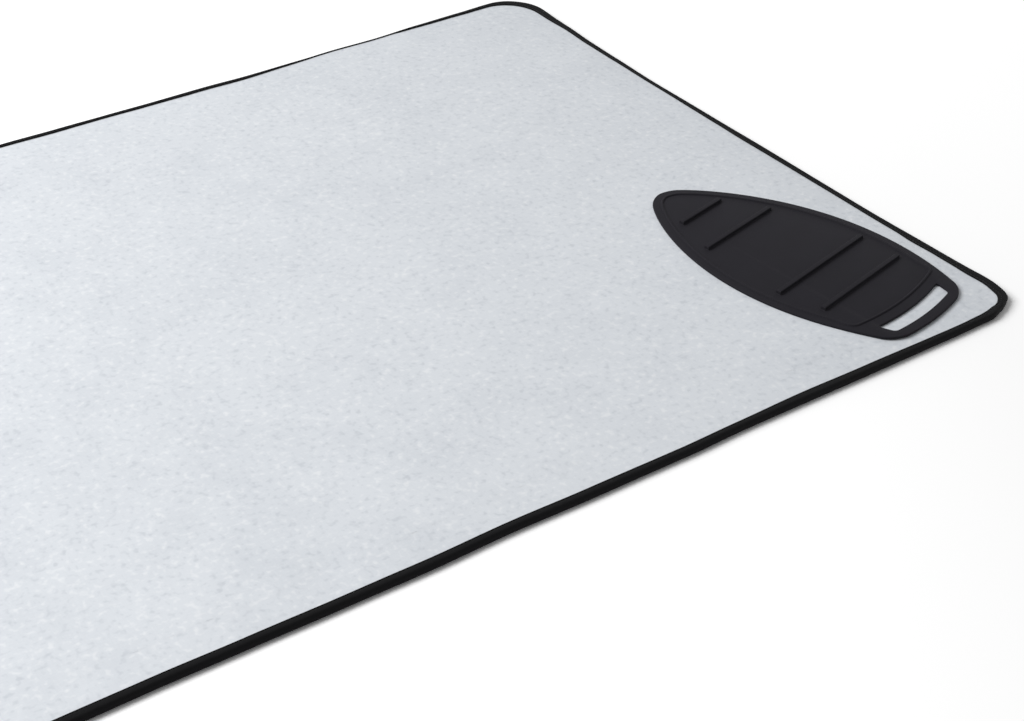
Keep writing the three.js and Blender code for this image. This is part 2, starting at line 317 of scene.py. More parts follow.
# and how much wider or narrower the tape is there
trims = {
    "end": [(-350, -0.4), (-320, -0.7), (-300, -0.2), (-280, -0.6), (-260, -0.6), (-235, 0.4),
            (-215, -0.3), (-180, -0.1), (-100, 0.2), (-60, 0.2), (-20, 0.2), (20, -0.7),
            (60, -0.8), (100, -1.2), (180, -1.1), (220, -1.2), (260, -1.5), (300, -0.6),
            (350, 0.2)],
    "far": [(-30, -2.6), (20, -0.6), (70, -0.3), (120, -1.0), (170, -0.5), (220, 0.6), (270, 1.1),
            (320, -0.2), (370, -1.8), (420, -3.4), (470, -0.6), (520, -0.3), (570, 0.5)],
    "near": [(-250, 0.9), (-190, 0.4), (-120, -0.2), (-50, -0.4), (0, 0.1), (90, 0.1), (160, -0.1),
             (230, -0.4), (300, -0.1), (370, 0.9), (440, 0), (510, -0.7), (550, -0.9), (565, -0.4),
             (575, 0), (583, -0.6), (590, -1.8)],
}


# the value at a place in a list of (place, value), eased from one to the next
def listedAt(table, place):
    for (low, first), (high, second) in zip(table, table[1:]):
        if place <= high * mm:
            return mm * (first + (second - first) * smoothStep(place, low * mm, high * mm))
    return mm * table[-1][1]


def edgeShift(x, y):
    wobble = mat["edgeWobble"]
    alongX = wobble * noise.noise(Vector((x / mat["wobbleSpacing"], 3.3, 0.7)))
    alongY = wobble * noise.noise(Vector((y / mat["wobbleSpacing"], 8.1, 5.2)))
    if x > 0:
        alongY += listedAt(drifts["end"], y)
    alongX += listedAt(drifts["far"], x) if y > 0 else -listedAt(drifts["near"], x)
    nearEnd = (abs(x) * 2 / mat["length"]) ** mat["endFade"]
    nearSide = (abs(y) * 2 / mat["width"]) ** mat["sideFade"]
    return Vector((alongY * nearEnd, alongX * nearSide))


# one closed run round the mat, anticlockwise from the middle of the +X end
def matRing(inset, cellsShort=mat["cellsShort"], cellsLong=mat["cellsLong"]):
    grid = mat["gridInset"]
    squareness = min(max((grid - inset) / (grid - mat["roundInset"]), 0), 1)
    radius = mat["cornerRadius"] * math.exp(-inset / mat["cornerRadius"]) * squareness
    endX, endY = mat["length"] / 2 - inset, mat["width"] / 2 - inset
    flare = mat["cornerFlare"] * math.exp(-max(0, inset - mat["foldDepth"]) / mat["flareReach"])

    def quarterSpot(half, share):
        run = share * (half - radius + radius * math.pi / 4)
        turn = max(run - (half - radius), 0) / max(radius, 1e-9)
        return (min(run, half - radius) + radius * math.sin(turn),
                radius * (1 - math.cos(turn)))

    quarter = []
    for step in range(cellsShort):
        along, drop = quarterSpot(endY, step / cellsShort)
        quarter.append((endX - drop, along))
    for step in range(cellsLong, -1, -1):
        along, drop = quarterSpot(endX, step / cellsLong)
        quarter.append((along, endY - drop))
    back = quarter[::-1]
    ring = (quarter[:-1] + [(-x, y) for x, y in back[:-1]]
            + [(-x, -y) for x, y in quarter[:-1]] + [(x, -y) for x, y in back[:-1]])
    shifted = []
    for x, y in ring:
        bulge = flare * 2 / mat["length"] * (abs(y) * 2 / mat["width"]) ** mat["flarePower"]
        move = edgeShift(x, y)
        shifted.append((x * (1 + bulge) + move.x, y + move.y))
    return shifted


# how much of their depth the soft plies keep, so that the cover climbs evenly from the tape
def softShareAt(inset):
    away = min(max((inset - mat["tapeWidth"]) / mat["crownReach"], 0), 1)
    spare = mat["tapeThickness"] + mat["tapeGap"]
    squeezed = mat["squeezedShare"] + spare / softDepth
    full = squeezed + (1 - squeezed) * (1 - (1 - away) ** 2)
    return full - floorAt(inset) / softDepth


# how far the soft plies are pressed down at a spot, out of the swells and the seam's puckers
def dipAt(x, y, inset):
    broad = noise.noise(Vector((x / waves["broad"], y / waves["broad"], 4.2)))
    fine = noise.noise(Vector((x / waves["fine"], y / waves["fine"], 9.6)))
    middle, broadShare, fineShare = waves["swellShares"]
    swell = min(max(middle + broadShare * broad + fineShare * fine, 0), 1)
    centre, reach = waves["restCentre"], waves["restReach"]
    away = math.hypot((x - centre[0]) / reach[0], (y - centre[1]) / reach[1])
    underRest = 1 - smoothStep(away, *waves["calmReach"])
    inside = smoothStep(inset, mat["tapeWidth"], mat["tapeWidth"] + mat["crownReach"] * 0.5)
    dip = waves["depth"] * swell * inside * (1 - waves["calm"] * underRest)
    for place, reach, depth in waves["dents"]:
        apart = math.hypot(x - place[0], y - place[1]) / reach
        dip += depth * math.exp(-apart * apart)
    if mat["tapeWidth"] * 0.8 < inset < mat["tapeWidth"] + 4 * waves["puckerReach"]:
        spacing = waves["puckerSpacing"]
        fold = noise.noise(Vector((x / spacing, y / spacing, 1.9)))
        offPeak = abs(inset - mat["tapeWidth"] - waves["puckerPeak"])
        fade = math.exp(-offPeak / waves["puckerReach"])
        dip += waves["puckerDepth"] * (0.5 + fold) * fade
    return dip


# how high the plies' floor stands off the table, on the tape's lower leg
def floorAt(inset):
    start = mat["tapeWidth"] + mat["tapeGap"]
    fall = smoothStep(inset, start, start + mat["floorReach"])
    return (mat["tapeThickness"] + mat["tapeGap"]) * (1 - fall)


def backingFloor(x, y, inset):
    return floorAt(inset)


def backingTop(x, y, inset):
    return backingFloor(x, y, inset) + plies["backing"]


def feltFloor(x, y, inset):
    return backingTop(x, y, inset) + mat["plyGap"]


def feltTop(x, y, inset):
    dip = waves["feltShare"] * dipAt(x, y, inset)
    return feltFloor(x, y, inset) + plies["felt"] * softShareAt(inset) - dip


def foamFloor(x, y, inset):
    return feltTop(x, y, inset) + mat["plyGap"]


def foamTop(x, y, inset):
    dip = (1 - waves["feltShare"]) * dipAt(x, y, inset)
    return foamFloor(x, y, inset) + plies["foam"] * softShareAt(inset) - dip


def coverFloor(x, y, inset):
    return foamTop(x, y, inset) + mat["plyGap"]


def coverTop(x, y, inset):
    return coverFloor(x, y, inset) + plies["cover"]


# one ply as a closed skin: rings near the edge, a grid inside, for its top and its floor
def makePly(name, lowAt, highAt):
    rim, edge = mat["foldDepth"] + mat["tapeGap"], mat["tapeWidth"]
    insets = [rim, (rim + edge) / 2, edge]
    insets += [edge + step * mm for step in mat["ringSteps"]]
    insets += [mat["outerCrown"], mat["roundInset"], mat["innerCrown"], mat["gridInset"]]
    around = 4 * (mat["cellsLong"] + mat["cellsShort"])
    columns, rows = 2 * mat["cellsLong"] + 1, 2 * mat["cellsShort"] + 1
    endX, endY = mat["length"] / 2 - mat["gridInset"], mat["width"] / 2 - mat["gridInset"]
    spots, faces, starts = [], [], []
    for heightAt, isTop in ((highAt, True), (lowAt, False)):
        start = len(spots)
        starts.append(start)
        for inset in insets:
            spots += [(x, y, heightAt(x, y, inset)) for x, y in matRing(inset)]
        gridStart = len(spots)
        for row in range(rows):
            y = endY * (2 * row / (rows - 1) - 1)
            for column in range(columns):
                x = endX * (2 * column / (columns - 1) - 1)
                move = edgeShift(x, y)
                spots.append((x + move.x, y + move.y, heightAt(x, y, mat["gridInset"])))
        sheet = []
        for ring in range(len(insets) - 1):
            here, inner = start + ring * around, start + (ring + 1) * around
            for step in range(around):
                after = (step + 1) % around
                sheet.append((here + step, here + after, inner + after, inner + step))
        for row in range(rows - 1):
            for column in range(columns - 1):
                corner = gridStart + row * columns + column
                sheet.append((corner, corner + 1, corner + columns + 1, corner + columns))
        faces += sheet if isTop else [face[::-1] for face in sheet]
    for step in range(around):
        after = (step + 1) % around
        faces.append((starts[1] + step, starts[1] + after, starts[0] + after, starts[0] + step))
    ply = meshObject(name, spots, faces)
    pick(ply)
    bpy.ops.object.mode_set(mode="EDIT")
    bpy.ops.mesh.select_all(action="SELECT")
    bpy.ops.mesh.remove_doubles(threshold=mat["mergeReach"])
    bpy.ops.object.mode_set(mode="OBJECT")
    return ply


# the silver cover cloth
cover = {
    "colour": "DDE1E6",
    "shade": "C6CBD2",           # the threads' shadowed sides
    "paintedGlint": "FAFBFC",           # painted glint: bright specks standing in for the metal coat's sparkle
    "dent": "AEB4BC",            # dull specks where it has worn off
    "threadSpacing": 0.5 * mm,   # plain weave, only seen close up
    "slubSpacing": 1.6 * mm,     # drawn coarser than the real yarn so that it shows in the render
    "slubLength": 8 * mm,
    "paintedGlintSize": 5 * mm,         # coarser than the real sparkle, for the same reason
    "clouds": ((34 * mm, 0.45), (130 * mm, 0.75)),    # each (size, strength)
    "yarn": (0.7, 1.3, 0.23, 0.41),    # from a range of the noise to a range of tones
    "glintShare": (0.57, 0.78, 0, 0.34),
    "dull": (0.43, 0.22, 0, 0.32),
    "roughness": 0.64,
    "glintGloss": -0.2,         # the painted glint specks are smoother too
}


# aluminium-coated cotton, plain woven: a soft satin grey with painted glints of the metal coat and
# dull worn specks
def makeCoverMaterial():
    material, tree, shader = startMaterial("aluminium-coated cotton", {
        "Metallic": 0.05, "IOR": 1.5, "Specular IOR Level": 0.12})
    where = addNode(tree, "ShaderNodeTexCoord").outputs["Object"]
    streaks = []
    drawn = cover["slubSpacing"] / cover["slubLength"]
    for stretch in ((1, drawn, 1), (drawn, 1, 1)):
        mapped = addNode(tree, "ShaderNodeMapping", {"Scale": stretch}, {"Vector": where})
        streaks.append(noiseOf(tree, mapped.outputs[0], cover["slubSpacing"], 2, 0.6))
    slub = addNode(tree, "ShaderNodeMath", {"operation": "ADD"}, {0: streaks[0], 1: streaks[1]})
    amount = mapRange(tree, slub.outputs[0], *cover["yarn"])
    for size, strength in cover["clouds"]:
        cloud = noiseOf(tree, where, size, 3, 0.6)
        added = addNode(tree, "ShaderNodeMath", {"operation": "MULTIPLY_ADD", 1: strength},
                        {0: cloud, 2: amount})
        amount = added.outputs[0]
    base = addNode(tree, "ShaderNodeMix", {"data_type": "RGBA", 6: linearColour(cover["shade"]),
                                           7: linearColour(cover["colour"])}, {0: amount})
    # painted glint: the brightest specks are painted near white as the metal coat's sparkle; the
    # dull specks are wear
    specks = noiseOf(tree, where, cover["paintedGlintSize"], 1)
    glintShare, dull = [mapRange(tree, specks, *cover[name]) for name in ("glintShare", "dull")]
    tone = base.outputs[2]
    for name, share in (("paintedGlint", glintShare), ("dent", dull)):
        mixed = addNode(tree, "ShaderNodeMix", {"data_type": "RGBA", 7: linearColour(cover[name])},
                        {0: share, 6: tone})
        tone = mixed.outputs[2]
    tree.links.new(tone, shader.inputs["Base Color"])
    rough = addNode(tree, "ShaderNodeMath", {"operation": "MULTIPLY_ADD", 1: cover["glintGloss"],
                                             2: cover["roughness"]}, {0: glintShare})
    tree.links.new(rough.outputs[0], shader.inputs["Roughness"])
    weave = plainWeave(tree, where, cover["threadSpacing"], 0.6, 0)
    fineBump = addNode(tree, "ShaderNodeBump", {"Strength": 0.35, "Distance": 0.08 * mm},
                       {"Height": weave})
    slubBump = addNode(tree, "ShaderNodeBump", {"Strength": 0.18, "Distance": 0.12 * mm},
                       {"Height": slub.outputs[0], "Normal": fineBump.outputs[0]})
    tree.links.new(slubBump.outputs[0], shader.inputs["Normal"])
    return material


topCover = makePly("topCover", coverFloor, coverTop)
finishPiece(topCover, "coverCloth", "mat", "top_cover", makeCoverMaterial(), 50)


# the backing cloth, against the table
backing = {"colour": "BDBAB2", "shade": "A7A49B", "threadSpacing": 0.9 * mm}


# unbleached cotton, plain woven: dull, with threads that show up close
def makeBackingMaterial():
    material, tree, shader = startMaterial("plain woven cotton", {
        "Roughness": 0.92, "IOR": 1.5, "Sheen Weight": 0.2, "Sheen Roughness": 0.6})
    where = addNode(tree, "ShaderNodeTexCoord").outputs["Object"]
    weave = plainWeave(tree, where, backing["threadSpacing"], 1.2, 2)
    colourBetween(tree, shader, backing["shade"], backing["colour"], weave)
    bumpFrom(tree, shader, weave, 0.5, 0.15 * mm)
    return material


backingCloth = makePly("backingCloth", backingFloor, backingTop)
finishPiece(backingCloth, "backingCloth", "mat", "backing_cloth",
            makeBackingMaterial(), 50)


# the felt and the foam, sealed in the mat
padding = {"felt": "E4E1D8", "feltShade": "CFCBC0", "fibre": 2.2 * mm,
           "foam": "E9E4C9", "foamShade": "CFC79F", "cell": 0.9 * mm}


# needled polyester felt: matted fibres with no sheen
def makeFeltMaterial():
    material, tree, shader = startMaterial("needled polyester felt", {
        "Roughness": 0.97, "Sheen Weight": 0.4, "Sheen Roughness": 0.7})
    where = addNode(tree, "ShaderNodeTexCoord").outputs["Object"]
    fibres = noiseOf(tree, where, padding["fibre"], 6, distortion=2.5)
    colourBetween(tree, shader, padding["feltShade"], padding["felt"], fibres)
    bumpFrom(tree, shader, fibres, 0.6, 0.3 * mm)
    return material


# open-cell polyurethane foam: a fine skin of pores
def makeFoamMaterial():
    material, tree, shader = startMaterial("polyurethane foam", {"Roughness": 0.9})
    where = addNode(tree, "ShaderNodeTexCoord").outputs["Object"]
    cells = addNode(tree, "ShaderNodeTexVoronoi", {"Scale": 1 / padding["cell"]},
                    {"Vector": where})
    colourBetween(tree, shader, padding["foamShade"], padding["foam"], cells.outputs["Distance"])
    bumpFrom(tree, shader, cells.outputs["Distance"], 0.5, 0.25 * mm, invert=True)
    return material


feltPad = makePly("feltPad", feltFloor, feltTop)
finishPiece(feltPad, "feltPad", "mat", "felt_pad", makeFeltMaterial(), 50)
foamPad = makePly("foamPad", foamFloor, foamTop)
finishPiece(foamPad, "foamPad", "mat", "foam_pad", makeFoamMaterial(), 50)


# the black tape folded over the rim
tape = {
    "colour": "151517",
    "shade": "070708",
    "ribSpacing": 0.75 * mm,     # the tape's cross ribs
    "pickSpacing": 0.525 * mm,
    "fuzz": 3 * mm,
    "width": 7.0 * mm,
    "leastWidth": 2.75 * mm,
    "widthWander": 0.45 * mm,    # a hand-guided seam drifts
    "wanderSpacing": 130 * mm,
    "sideShares": (0.46, 0.49),  # of the mat's width, where a long side's trims come in
    "endShares": (0.474, 0.494),
    "farSideTrim": 1.1 * mm,     # narrower along the far side
    "pinchPlace": 385 * mm,      # and narrowest here on it
    "pinchReach": 90 * mm,
    "pinchTrim": 1.9 * mm,
    "turnedEdge": 0.3 * mm,
    "cutSlant": 0.05 * mm,
    "stitchFromEdge": 1.2 * mm,  # from where its edge has turned down
    "grooveWidth": 1.2 * mm,
    "grooveDepth": 0.35 * mm,
    "lapPlace": 0.62,            # where its two ends overlap, as a share of the way round
    "lapLength": 22 * mm,
    "lapStep": 0.8 * mm,
    "lapFade": 9 * mm,
    "lapThickness": 0.55 * mm,
    "cellsLong": 170,
    "cellsShort": 100,
    "foldSteps": 12,
    "innerSteps": 6,
    "ringSpacing": 0.4 * mm,
    "mergeReach": 0.005 * mm,
}


# a grid primitive bent into a closed ring, one line of it for each row of spots
def wrapGrid(rows, runs):
    around = len(rows[0])
    deselectAll()
    bpy.ops.mesh.primitive_grid_add(x_subdivisions=around, y_subdivisions=len(rows), size=1)
    wrapped = bpy.context.object
    mesh = wrapped.data
    columns = around + 1
    for vert in mesh.vertices:
        row, column = vert.index // columns, vert.index % columns
        vert.co = rows[row % len(rows)][column % around]
    uvMap = mesh.uv_layers.active.data
    for loop in mesh.loops:
        row, column = loop.vertex_index // columns, loop.vertex_index % columns
        uvMap[loop.index].uv = (runs[0][column], runs[1][row])
    pick(wrapped)
    bpy.ops.object.mode_set(mode="EDIT")
    bpy.ops.mesh.select_all(action="SELECT")
    bpy.ops.mesh.remove_doubles(threshold=tape["mergeReach"])
    bpy.ops.mesh.normals_make_consistent(inside=False)
    bpy.ops.object.mode_set(mode="OBJECT")
    return wrapped


def tapeWidthAt(x, y):
    spacing = tape["wanderSpacing"]
    width = tape["width"] + tape["widthWander"] * 2 * noise.noise(
        Vector((x / spacing, y / spacing, 6.4)))
    sideStart, sideFull = [mat["width"] * share for share in tape["sideShares"]]
    farSide, nearSide = smoothStep(y, sideStart, sideFull), smoothStep(-y, sideStart, sideFull)
    atEnd = smoothStep(x, *[mat["length"] * share for share in tape["endShares"]])
    pinch = math.exp(-((x - tape["pinchPlace"]) / tape["pinchReach"]) ** 2)
    width -= farSide * (tape["farSideTrim"] + tape["pinchTrim"] * pinch)
    width += (farSide * listedAt(trims["far"], x) + nearSide * listedAt(trims["near"], x)
              + atEnd * listedAt(trims["end"], y))
    return max(width, tape["leastWidth"])


# the seam's inset, and how much room it has: all of it, unless the tape is very narrow
def seamPlace(width):
    flat = width - tape["turnedEdge"] - mat["foldDepth"]
    room = min(flat / (1.5 * tape["stitchFromEdge"]), 1)
    return width - tape["turnedEdge"] - tape["stitchFromEdge"] * room, room


# the tape's section as (inset, height): lower leg, fold, upper leg, and back inside
def tapeSection(width, lap):
    thick, fold, middle = mat["tapeThickness"], mat["foldDepth"], tapeHeight / 2
    seam, room = seamPlace(width)
    upperLeg = [(width, tapeHeight - 0.75 * thick),
                (width - tape["cutSlant"], tapeHeight - 0.25 * thick),
                (width - tape["turnedEdge"], tapeHeight + lap)]
    for share in (1, 0.6, 0.25, 0, -0.25, -0.6, -1):
        drop = tape["grooveDepth"] * room * (1 - share * share) ** 2
        upperLeg.append((seam + share * room * tape["grooveWidth"] / 2, tapeHeight + lap - drop))
    outer = [(inset, tapeHeight - height) for inset, height in upperLeg]
    for step in range(tape["foldSteps"] + 1):
        turn = math.pi * (step / tape["foldSteps"] - 0.5)
        outer.append((fold - (fold + lap) * math.cos(turn),
                      middle + (middle + lap) * math.sin(turn)))
    outer += upperLeg[::-1]
    outer.append((width, tapeHeight - thick))
    for step in range(tape["innerSteps"] + 1):
        turn = math.pi * (0.5 - step / tape["innerSteps"])
        outer.append((fold - (fold - thick) * math.cos(turn),
                      middle + (middle - thick) * math.sin(turn)))
    outer.append((width, thick))
    return outer


ringInsets = [step * tape["ringSpacing"] for step in range(-2, 24)]
ringTable = [matRing(inset, tape["cellsShort"], tape["cellsLong"]) for inset in ringInsets]


# a spot at any inset on the line square to the edge, between rings worked out once
def spotAt(step, inset):
    place = (inset - ringInsets[0]) / tape["ringSpacing"]
    low = min(max(int(place), 0), len(ringTable) - 2)
    share = place - low
    (x0, y0), (x1, y1) = ringTable[low][step], ringTable[low + 1][step]
    return x0 + (x1 - x0) * share, y0 + (y1 - y0) * share


tapeSteps = len(ringTable[0])
outerRing = ringTable[ringInsets.index(0)]
tapeRun = [0]
for step in range(tapeSteps):
    (x0, y0), (x1, y1) = outerRing[step], outerRing[(step + 1) % tapeSteps]
    tapeRun.append(tapeRun[-1] + math.hypot(x1 - x0, y1 - y0))
tapeLength = tapeRun[-1]


def lapAt(run):
    start = tape["lapPlace"] * tapeLength
    end = start + tape["lapLength"]
    rise = smoothStep(run, start, start + tape["lapStep"])
    fall = smoothStep(run, end, end + tape["lapFade"])
    return tape["lapThickness"] * rise * (1 - fall)


# woven polyester tape: matt black, with fine ribs across it that catch a little light
def makeTapeMaterial():
    material, tree, shader = startMaterial("woven polyester tape", {
        "Roughness": 0.72, "IOR": 1.5, "Specular IOR Level": 0.08, "Sheen Weight": 0.02,
        "Sheen Roughness": 0.4})
    where = addNode(tree, "ShaderNodeUVMap").outputs["UV"]
    crossRibs = bandsOf(tree, where, "X", tape["ribSpacing"], 0.8, 1)
    picks = bandsOf(tree, where, "Y", tape["pickSpacing"], 0.5)
    weave = addNode(tree, "ShaderNodeMath", {"operation": "MULTIPLY_ADD", 1: 0.35},
                    {0: picks, 2: crossRibs})
    fuzz = noiseOf(tree, where, tape["fuzz"], 4)
    amount = addNode(tree, "ShaderNodeMath", {"operation": "MULTIPLY", "use_clamp": True},
                     {0: weave.outputs[0], 1: fuzz})
    colourBetween(tree, shader, tape["shade"], tape["colour"], amount.outputs[0])
    bumpFrom(tree, shader, weave.outputs[0], 0.6, 0.12 * mm)
    return material


def makeTape():
    sections = []
    for step in range(tapeSteps):
        x, y = outerRing[step]
        sections.append(tapeSection(tapeWidthAt(x, y), lapAt(tapeRun[step])))
    rows = []
    for line in range(len(sections[0])):
        row = []
        for step, section in enumerate(sections):
            inset, height = section[line]
            x, y = spotAt(step, inset)
            row.append((x, y, max(height, 0)))
        rows.append(row)
    acrossRun = [0]
    plain = tapeSection(tape["width"], 0)
    for line in range(len(plain)):
        (i0, h0), (i1, h1) = plain[line], plain[(line + 1) % len(plain)]
        acrossRun.append(acrossRun[-1] + math.hypot(i1 - i0, h1 - h0))
    return wrapGrid(rows, (tapeRun, acrossRun))


binding = makeTape()
finishPiece(binding, "bindingTape", "mat", "edge_binding", makeTapeMaterial(), 60)


# the seam's stitches, above and below
stitch = {
    "pitch": 3.2 * mm,
    "length": 2.75 * mm,
    "width": 0.46 * mm,
    "height": 0.42 * mm,
    "endDive": 0.16 * mm,        # its ends dive through the tape
    "seat": 0.12 * mm,           # its middle's height over the groove's bottom
    "jitter": 0.03,              # how far each is turned at most, in radians
    "colour": "151517",
    "shade": "070708",
    "twist": 0.55 * mm,
}


# twisted polyester thread: black with a faint gloss on each ply's back
def makeThreadMaterial():
    material, tree, shader = startMaterial("twisted polyester thread", {
        "Roughness": 0.5, "IOR": 1.5, "Specular IOR Level": 0.25})
    where = addNode(tree, "ShaderNodeTexCoord").outputs["Object"]
    twist = bandsOf(tree, where, "DIAGONAL", stitch["twist"])
    colourBetween(tree, shader, stitch["shade"], stitch["colour"], twist)
    bumpFrom(tree, shader, twist, 0.4, 0.05 * mm)
    return material


# one stitch is modelled, then copied along the groove at an even pitch
def makeSeam(name, isUpper):
    deselectAll()
    bpy.ops.mesh.primitive_uv_sphere_add(segments=6, ring_count=6, radius=0.5,
                                         rotation=(0, math.pi / 2, 0))
    single = bpy.context.object
    bpy.ops.object.transform_apply(location=False, rotation=True, scale=False)
    bpy.ops.transform.resize(value=(stitch["length"], stitch["width"], stitch["height"]))
    bpy.ops.object.transform_apply(location=False, rotation=False, scale=True)
    for vert in single.data.vertices:
        end = abs(vert.co.x) * 2 / stitch["length"]
        vert.co.z -= stitch["endDive"] * end ** 3
    shape = [vert.co.copy() for vert in single.data.vertices]
    shapeFaces = [tuple(face.vertices) for face in single.data.polygons]
    bpy.data.objects.remove(single)
    lines, rooms = [], []
    for step in range(tapeSteps):
        inset, room = seamPlace(tapeWidthAt(*outerRing[step]))
        lines.append(spotAt(step, inset))
        rooms.append(room)
    run = [0]
    for step in range(tapeSteps):
        (x0, y0), (x1, y1) = lines[step], lines[(step + 1) % tapeSteps]
        run.append(run[-1] + math.hypot(x1 - x0, y1 - y0))
    count = round(run[-1] / stitch["pitch"])
    spots, faces = [], []
    step = 0
    for index in range(count):
        target = (index + 0.5) * run[-1] / count
        while run[step + 1] < target:
            step += 1
        share = (target - run[step]) / (run[step + 1] - run[step])
        (x0, y0), (x1, y1) = lines[step], lines[(step + 1) % tapeSteps]
        turn = math.atan2(y1 - y0, x1 - x0) + random.uniform(-stitch["jitter"], stitch["jitter"])
        lap = lapAt(tapeRun[step] + share * (tapeRun[step + 1] - tapeRun[step]))
        depth = tape["grooveDepth"] * rooms[step] - stitch["seat"]
        middle = tapeHeight + lap - depth if isUpper else max(depth - lap, stitch["seat"])
        start = len(spots)
        for spot in shape:
            across = spot.y * math.cos(turn) + spot.x * math.sin(turn)
            along = spot.x * math.cos(turn) - spot.y * math.sin(turn)
            spots.append((x0 + (x1 - x0) * share + along, y0 + (y1 - y0) * share + across,
                          middle + (spot.z if isUpper else max(-spot.z, -middle))))
        faces += [tuple(start + corner for corner in (face if isUpper else face[::-1]))
                  for face in shapeFaces]
    return meshObject(name, spots, faces)


threadMaterial = makeThreadMaterial()
finishPiece(makeSeam("needleThread", True), "needleThread", "mat", "needle_thread",
            threadMaterial)
finishPiece(makeSeam("bobbinThread", False), "bobbinThread", "mat", "bobbin_thread",
            threadMaterial)


# the moulded silicone iron rest
rest = {
    "length": 278.8 * mm,
    "width": 155 * mm,
    "thickness": 2.2 * mm,
    "edgeRound": 0.6 * mm,
    "lowerRound": 0.3 * mm,
    "sharpFrom": 40,             # edges bent by more than this are rounded, in degrees
    "cutOverrun": 2 * mm,
    "bowRadius": 235 * mm,
    "slotLength": 88.5 * mm,
    "slotTaper": 4 * mm,         # how much shorter each end is on the handle's side
    "slotWidth": 13.2 * mm,
    "slotRadius": 4 * mm,
    "gripWidth": 9.1 * mm,
    "place": (523.2 * mm, -327.7 * mm, 7.3 * mm),
    "sink": 0.22 * mm,           # its weight presses it this far into the cloth
    "turn": 12.84,               # degrees from +Y
    "cornerStart": 0.482,        # the outline, as shares of half the width and of the length
    "cornerPull": (0.6397, 0.0247),
    "sideStart": (0.7069, 0.0573),
    "sidePulls": ((1.4915, 0.5395), (0.4837, 0.9122)),
    "tipStart": (0.2206, 0.9758),
    "tipPulls": ((0.1705, 0.9886), (0.0636, 1)),
    "colour": "242327",
    "grain": "2C2B31",
    "grainSize": 0.9 * mm,
    "cloudSize": 34 * mm,
}


def restSpot(across, along, height=0):
    turn = math.radians(rest["turn"])
    x0, y0, z0 = rest["place"]
    return (x0 + across * math.cos(turn) - along * math.sin(turn),
            y0 + across * math.sin(turn) + along * math.cos(turn), z0 - rest["sink"] + height)


# points along a Bezier curve of any order, without its last
def curvePoints(pulls, steps):
    points = []
    for step in range(steps):
        level = [Vector(pull) for pull in pulls]
        while len(level) > 1:
            level = [a.lerp(b, step / steps) for a, b in zip(level, level[1:])]
        points.append(level[0])
    return points


# the handle's end is bowed: how far up it has come at a place across
def bowAt(across):
    return across * across / (2 * rest["bowRadius"])


# a closed outline out of its right half, which starts and ends on the middle line
def withMirror(right):
    return right + [Vector((-p.x, p.y)) for p in right[-2:0:-1]]


def restOutline():
    half, length = rest["width"] / 2, rest["length"]
    start = rest["cornerStart"] * half
    corner = (start, bowAt(start))
    spot = lambda shares: (shares[0] * half, shares[1] * length)
    right = curvePoints([(0, 0), (start / 2, 0), corner], 10)
    right += curvePoints([corner, spot(rest["cornerPull"]), spot(rest["sideStart"])], 10)
    right += curvePoints([spot(rest["sideStart"]), spot(rest["sidePulls"][0]),
                          spot(rest["sidePulls"][1]), spot(rest["tipStart"])], 44)
    right += curvePoints([spot(rest["tipStart"]), spot(rest["tipPulls"][0]),
                          spot(rest["tipPulls"][1]), (0, length)], 14)
    right.append(Vector((0, length)))
    return withMirror(right)


def slotOutline():
    near = lambda across: Vector((across, rest["gripWidth"] + bowAt(across)))
    far = lambda across: near(across) + Vector((0, rest["slotWidth"]))
    farHalf, radius = rest["slotLength"] / 2, rest["slotRadius"]
    nearHalf = farHalf - rest["slotTaper"]
    step = (far(farHalf) - near(nearHalf)).normalized() * radius
    nearIn, farIn = near(nearHalf - radius), far(farHalf - radius)
    nearEnd, farEnd = near(nearHalf) + step, far(farHalf) - step
    right = curvePoints([near(0), near(nearIn.x / 2) * 2 - (near(0) + nearIn) / 2, nearIn], 8)
    right += curvePoints([nearIn, near(nearHalf), nearEnd], 6)
    right += curvePoints([nearEnd, farEnd], 2)
    right += curvePoints([farEnd, far(farHalf), farIn], 6)
    right += curvePoints([farIn, far(farIn.x / 2) * 2 - (far(0) + farIn) / 2, far(0)], 8)
    right.append(far(0))
    return withMirror(right)


# a closed outline moved inwards
def movedIn(points, distance):
    moved = []
    for index, point in enumerate(points):
        before, after = points[index - 1], points[(index + 1) % len(points)]
        edgeIn, edgeOut = (point - before).normalized(), (after - point).normalized()
        along = (edgeIn + edgeOut).normalized()
        reach = distance / max(along.dot(edgeOut), 0.7)
        moved.append(Vector((point.x - along.y * reach, point.y + along.x * reach)))
    return moved


# a flat disc reshaped to an outline and drawn up to a height
def drawUp(outline, low, high):
    deselectAll()
    bpy.ops.mesh.primitive_circle_add(vertices=len(outline), radius=1, fill_type="NGON")
    shape = bpy.context.object
    for vert, point in zip(shape.data.vertices, outline):
        vert.co = restSpot(point.x, point.y, low)
    bpy.ops.object.mode_set(mode="EDIT")
    bpy.ops.mesh.select_all(action="SELECT")
    bpy.ops.mesh.extrude_region_move(TRANSFORM_OT_translate={"value": (0, 0, high - low)})
    bpy.ops.mesh.select_all(action="SELECT")
    bpy.ops.mesh.normals_make_consistent(inside=False)
    bpy.ops.object.mode_set(mode="OBJECT")
    return shape


def applyModifier(piece, kind, settings):
    pick(piece)
    modifier = piece.modifiers.new(kind, kind)
    for name, value in settings.items():
        setattr(modifier, name, value)
    bpy.ops.object.modifier_apply(modifier=modifier.name)


